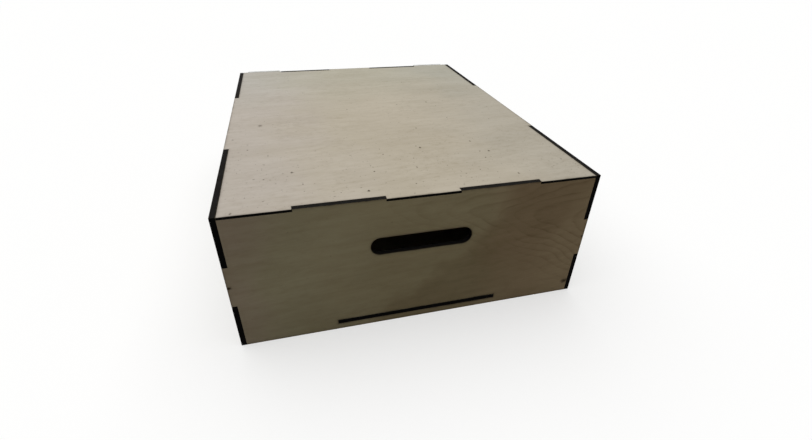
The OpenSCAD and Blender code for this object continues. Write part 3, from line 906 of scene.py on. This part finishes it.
def sleevePoint(up, lap):
    # the folds wander and fade a little, and the ends lie plain at the discs
    angle = math.tau * lap
    folds = sleeve["folds"]
    around = Vector((math.cos(angle), math.sin(angle), 0))
    crumple = noise.noise(around * 1.7 + Vector((0, 0, up * folds * 0.45)))
    crease = noise.noise(around * 5 + Vector((7, 3, up * folds * 1.1)))
    tuck = min(1, up * folds * 1.2, (1 - up) * folds * 1.2)
    wave = 0.5 - 0.5 * math.cos(math.tau * folds * up + sleeve["wander"] * crumple * tuck)
    gather = math.cos(sleeve["gathers"] * angle + 2.5 * crumple)
    radius = sleeve["inner"] + (sleeve["outer"] - sleeve["inner"]) * wave * (0.88 + 0.3 * crumple)
    radius += tuck * (sleeve["gatherDepth"] * gather * (1 - 0.4 * wave) + sleeve["creaseDepth"] * crease)
    radius = min(radius, sleeve["reach"])
    low = sleeveBox[0][2]
    high = sleeveBox[1][2]
    return aroundDoll(radius, angle, low + up * (high - low))


sleeveCotton = clothMaterial("sleeveCotton", (sleeve["cream"], sleeve["red"]), sleeve["stripes"], (330, 300))
sleevePiece = gridCloth("sleeveCloth", sleeve["folds"] * sleeve["perFold"], sleeve["across"], sleevePoint,
                        sleeveCotton, None)
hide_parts("jack_sleeve")
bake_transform(sleevePiece)
print("sleeve done")

# The ruff: pleated cotton round the neck
ruff = {
    "pleats": 22,
    "inner": 0.0105,
    "outer": 0.0378,
    "rings": 14,
    "perPleat": 16,
    "thickness": 0.0005,
    "clearance": 0.0007,    # left above and below the pleats
    "loop": 0.058,          # radians that a pleat bulges over its neighbours
    "hem": 0.9,             # share of the way out to the stitches of the hem
    "cream": srgb(226, 214, 184),
}
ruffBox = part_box("ruff")


def ruffPoint(out, lap):
    angle = math.tau * lap
    radius = ruff["inner"] + (ruff["outer"] - ruff["inner"]) * out
    middle = (ruffBox[0][2] + ruffBox[1][2]) / 2
    swing = (ruffBox[1][2] - ruffBox[0][2]) / 2 - ruff["clearance"]
    lift = swing * min(1, 0.25 + 1.1 * out)
    phase = ruff["pleats"] * angle
    # no two pleats are quite alike
    pleat = math.sin(phase) * (1 - 0.06 * math.sin(7 * angle) - 0.04 * math.sin(3 * angle))
    radius -= 0.0009 * out * (0.5 + 0.5 * math.sin(5 * angle + 1))
    turn = angle - ruff["loop"] * math.sin(2 * phase) * out ** 1.3 + 0.02 * math.sin(4 * angle) * out
    return aroundDoll(radius, turn, middle + lift * pleat)


ruffCotton = clothMaterial("ruffCotton", (ruff["cream"],), 0, (260, 60), hem=ruff["hem"])
ruffPiece = gridCloth("ruffCloth", ruff["rings"], ruff["pleats"] * ruff["perPleat"], ruffPoint,
                      ruffCotton, "jack")
applyModifier(ruffPiece, "SOLIDIFY", thickness=ruff["thickness"], offset=0)
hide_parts("ruff")
print("ruff done")

# The head: turned beech with a painted face
headRadius = (headBox[1][0] - headBox[0][0]) / 2
headMiddle = Vector((0, caseMid, headBox[1][2] - headRadius))
face = {
    "eyeTurn": 19,          # degrees to each side
    "eyeRise": 3,           # degrees above the middle
    "eyeRadius": 0.0036,
    "pupil": 0.62,          # of the eye
    "glint": 0.16,
    "browRise": 10.2,       # degrees above the eye
    "browBend": 0.035,
    "browReach": 8,
    "cheekTurn": 34,
    "cheekRise": -13,
    "cheekRed": srgb(206, 92, 78),
    "mouthDrop": -24,
    "mouthTurn": 24,
    "mouthCurl": 9,
    "toolMarks": 900,       # per metre, left by the lathe
}


def onHead(turn, rise, lift=0):
    # a point on the face: degrees to the right and up from straight ahead
    a = math.radians(turn)
    b = math.radians(rise)
    out = Vector((math.sin(a) * math.cos(b), -math.cos(a) * math.cos(b), math.sin(b)))
    return headMiddle + out * (headRadius + lift), out


def headMaterial():
    material, tree, shader, place = solidWood(
        "turnedBeech", srgb(224, 191, 150), srgb(196, 156, 113), 0.36, (2, 2, 0.22))
    colour = shader.inputs["Base Color"].links[0].from_socket
    turning = calc(tree, "SINE", times(tree, split(tree, place)["Z"], math.tau * face["toolMarks"]))
    for s in (-1, 1):
        spot = onHead(s * face["cheekTurn"], face["cheekRise"])[0]
        far = vectorCalc(tree, "DISTANCE", place, tuple(spot), out="Value")
        colour = mixColour(tree, remap(tree, far, 0.0075, 0.0025, 0, 0.55), colour, face["cheekRed"])
    fill(tree, shader.inputs, {
        "Base Color": colour, "Coat Weight": 0.25, "Coat Roughness": 0.3,
        "Normal": bumped(tree, turning, 0.05, 0.0001)})
    return material


turnedBeech = headMaterial()
wear(nodes["head"], turnedBeech)
wear(nodes["neck_dowel"], turnedBeech)


def paintMaterial(name, colour, rough=0.28):
    material, tree, shader, place = newMaterial(name)
    brush = noiseField(tree, place, 500, 3, 0.6, (1, 1, 0.3))
    strokes = remap(tree, brush, 0.35, 0.75, 0, 0.5)
    fill(tree, shader.inputs, {
        "Base Color": mixColour(tree, strokes, colour, (0.72, 0.72, 0.72, 1), "MULTIPLY"),
        "Roughness": remap(tree, brush, 0.2, 0.8, rough, rough + 0.14, False),
        "Coat Weight": 0.5, "Coat Roughness": 0.15, "Normal": bumped(tree, brush, 0.12, 0.0002)})
    return material


blackPaint = paintMaterial("blackPaint", srgb(22, 18, 18))
whitePaint = paintMaterial("whitePaint", srgb(232, 228, 216))
redPaint = paintMaterial("redPaint", srgb(176, 40, 34))
wear(nodes["nose"], redPaint)


def paintedDot(name, turn, rise, radius, thick, material, lift=0):
    # a drop of paint: a flattened ball, standing on the head
    spot, out = onHead(turn, rise, lift)
    dot = addBall(radius, spot, 28)
    dot.scale = (1, 1, thick / radius)
    dot.rotation_euler = Vector((0, 0, 1)).rotation_difference(out).to_euler()
    finish(dot, name, material, "jack")


def paintedLine(name, places, radius, material):
    # a brushed line: a thin tube bedded in the head, pointed at both ends
    spots = [onHead(turn, rise, -radius * 0.3)[0] for turn, rise in places]
    steps = len(places) - 1
    widths = [max(0.15, math.sin(math.pi * i / steps) ** 0.5) for i in range(steps + 1)]
    line = tubeAlong(name, spots, radius, 4, widths)
    finish(line, name, material, "jack")


for label, s in (("Left", -1), ("Right", 1)):
    turn = s * face["eyeTurn"]
    rise = face["eyeRise"]
    radius = face["eyeRadius"]
    paintedDot(f"eyeWhite{label}", turn, rise, radius, 0.0007, whitePaint)
    paintedDot(f"eyeBlack{label}", turn, rise - 1.5, radius * face["pupil"], 0.0006, blackPaint, 0.0004)
    paintedDot(f"eyeGlint{label}", turn - 2, rise + 1, radius * face["glint"], 0.0003, whitePaint, 0.0009)
    rise += face["browRise"]
    brow = [(s * (face["eyeTurn"] + d), rise - face["browBend"] * d * d)
            for d in range(-face["browReach"], face["browReach"] + 1, 2)]
    paintedLine(f"brow{label}", brow, 0.0006, blackPaint)
smile = [(t, face["mouthDrop"] + face["mouthCurl"] * (t / face["mouthTurn"]) ** 2)
         for t in range(-face["mouthTurn"], face["mouthTurn"] + 1, 3)]
paintedLine("smile", smile, 0.0009, redPaint)
print("face done")

# The hat: two-coloured felt with a rolled rim, a corded seam and a soft point on each side
hat = {
    "felt": 0.0016,
    "gap": 0.0004,
    "rimRise": 0.0105,      # above the middle of the head
    "rimRoll": 0.002,
    "rimStand": 1.25,       # the roll's height to its width
    "voxel": 0.0011,
    "tailRadius": 0.0062,
    "taper": 0.72,
    "tailBalls": 36,
    "tailRoot": (0.34, 0.84),   # to the side and up from the head's middle, in cap radii
    "tailBend": (0.95, 1.08),
    "tailFall": 0.98,       # up, straight above the bell
    "tailEnd": 0.0012,      # above the bell
    "bellRadius": 0.006,
    "seamRadius": 0.0007,
    "seamSteps": 80,
    "red": srgb(172, 38, 36),
    "blue": srgb(42, 66, 122),
    "cord": srgb(206, 160, 72),
}
capRadius = headRadius + hat["gap"] + hat["felt"]
rimZ = headMiddle.z + hat["rimRise"]
bellX = (bellBox[1][0] - bellBox[0][0]) / 2 - hat["bellRadius"]
bellTop = bellBox[1][2] - headMiddle.z


def tailPoint(s, t):
    a = Vector((s * capRadius * hat["tailRoot"][0], 0, capRadius * hat["tailRoot"][1]))
    b = Vector((s * capRadius * hat["tailBend"][0], 0, capRadius * hat["tailBend"][1]))
    c = Vector((s * bellX, 0, capRadius * hat["tailFall"]))
    d = Vector((s * bellX, 0, bellTop + hat["tailEnd"]))
    u = 1 - t
    return headMiddle + u ** 3 * a + 3 * u * u * t * b + 3 * u * t * t * c + t ** 3 * d


def feltMaterial():
    material, tree, shader, place = newMaterial("hatFelt")
    x = split(tree, place)["X"]
    wobble = times(tree, less(tree, noiseField(tree, place, 200), 0.5), 0.0006)
    side = remap(tree, plus(tree, x, wobble), -0.0001, 0.0001)
    colour = mixColour(tree, side, hat["red"], hat["blue"])
    fluff = noiseField(tree, place, 420, 5, 0.7)
    blots = noiseField(tree, place, 60, 3, 0.6)
    shade = plus(tree, times(tree, fluff, 0.6), times(tree, blots, 0.4))
    shadow = remap(tree, shade, 0.35, 0.65, 0.85, 0)
    fill(tree, shader.inputs, {
        "Base Color": mixColour(tree, shadow, colour, (0.55, 0.53, 0.56, 1), "MULTIPLY"),
        "Roughness": 0.95, "Sheen Weight": 0.6, "Sheen Roughness": 0.6,
        "Normal": bumped(tree, fluff, 0.6, 0.0006)})
    return material


def makeHat():
    parts = [addBall(capRadius, headMiddle, 64)]
    for s in (-1, 1):
        for i in range(hat["tailBalls"] + 1):
            t = i / hat["tailBalls"]
            radius = hat["tailRadius"] * (1 - hat["taper"] * t)
            radius *= 1 + 0.05 * math.sin(9 * t + s)
            parts.append(addBall(radius, tailPoint(s, t), 20))
    felt = joinAll(parts)
    settle(felt)
    applyModifier(felt, "REMESH", mode="VOXEL", voxel_size=hat["voxel"])
    # hollow it over the head, and cut it level at the rim
    cutAway(felt, addBall(headRadius + hat["gap"], headMiddle, 64))
    deselect()
    # the cutter is no wider than the cap, so the points still hang past the rim
    cutterDepth = 0.06
    bpy.ops.mesh.primitive_cylinder_add(vertices=96, radius=capRadius + 0.0006, depth=cutterDepth,
                                        location=(0, caseMid, rimZ - cutterDepth / 2))
    cutAway(felt, bpy.context.object)
    recalculate(felt)
    return felt


felt = makeHat()
hatFelt = feltMaterial()
seamCord = paintMaterial("seamCord", hat["cord"], 0.6)
finish(felt, "hatFelt", hatFelt, "jack", 60)
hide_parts("hat")


def makeRim():
    ring = math.sqrt(capRadius ** 2 - hat["rimRise"] ** 2) - 0.0002
    deselect()
    bpy.ops.mesh.primitive_torus_add(major_segments=96, minor_segments=16, major_radius=ring,
                                     minor_radius=hat["rimRoll"], location=(0, caseMid, rimZ))
    rim = bpy.context.object
    rim.scale.z = hat["rimStand"]
    finish(rim, "hatRim", hatFelt, "jack")


def makeSeam():
    # a corded seam where the two colours meet, over the crown from rim to rim
    start = math.asin(hat["rimRise"] / capRadius)
    steps = hat["seamSteps"]
    spots = []
    for i in range(steps + 1):
        angle = start + (math.pi - 2 * start) * i / steps
        twist = 0.0002 * math.sin(i * math.pi / 2)
        out = Vector((0, -math.cos(angle), math.sin(angle)))
        spots.append(headMiddle + out * (capRadius + 0.0001) + Vector((twist, 0, 0)))
    seam = tubeAlong("hatSeam", spots, hat["seamRadius"], 3)
    finish(seam, "hatSeam", seamCord, "jack")


makeRim()
makeSeam()
print("hat done")

# Floor, light and background
stageLook = {
    "floor": (0.52, 0.52, 0.515, 1),
    "bounce": (0.3, 0.3, 0.3, 1),
    "lift": 0.5,
    "sun": 2.55,
    "sunSize": 95,          # degrees across, for a soft shadow
    "sunTilt": (-12, -8, 0),
    "sky": 0.17,
}


def paleRays(tree):
    # 1 for rays from the camera, off gloss and through glass
    path = addNode(tree, "LightPath").outputs
    return calc(tree, "MAXIMUM", path["Is Camera Ray"],
                calc(tree, "MAXIMUM", path["Is Glossy Ray"], path["Is Transmission Ray"]))


def makeFloor():
    deselect()
    bpy.ops.mesh.primitive_plane_add(size=14)
    floor = bpy.context.object
    floor.name = "paleFloor"
    material = bpy.data.materials.new("paleFloor")
    tree = emptyTree(material)
    pale = paleRays(tree)
    colour = mixColour(tree, pale, stageLook["bounce"], stageLook["floor"])
    matte = addNode(tree, "BsdfDiffuse", {"Color": colour})
    glow = addNode(tree, "Emission", {"Strength": times(tree, pale, stageLook["lift"])})
    both = addNode(tree, "AddShader", {0: matte.outputs[0], 1: glow.outputs[0]})
    addNode(tree, "OutputMaterial", {"Surface": both.outputs[0]})
    wear(floor, material)


def makeLight():
    sun = newObject("softSun", bpy.data.lights.new("softSun", "SUN"))
    sun.data.energy = stageLook["sun"]
    sun.data.angle = math.radians(stageLook["sunSize"])
    sun.rotation_euler = [math.radians(a) for a in stageLook["sunTilt"]]
    world = bpy.data.worlds.new("softRoom")
    bpy.context.scene.world = world
    tree = emptyTree(world)
    strength = mixNumber(tree, paleRays(tree), stageLook["sky"], 1)
    back = addNode(tree, "Background", {"Color": (1, 1, 1, 1), "Strength": strength})
    addNode(tree, "OutputWorld", {"Surface": back.outputs[0]})


makeFloor()
makeLight()
bpy.context.scene.view_settings.view_transform = "Standard"
print("stage done")
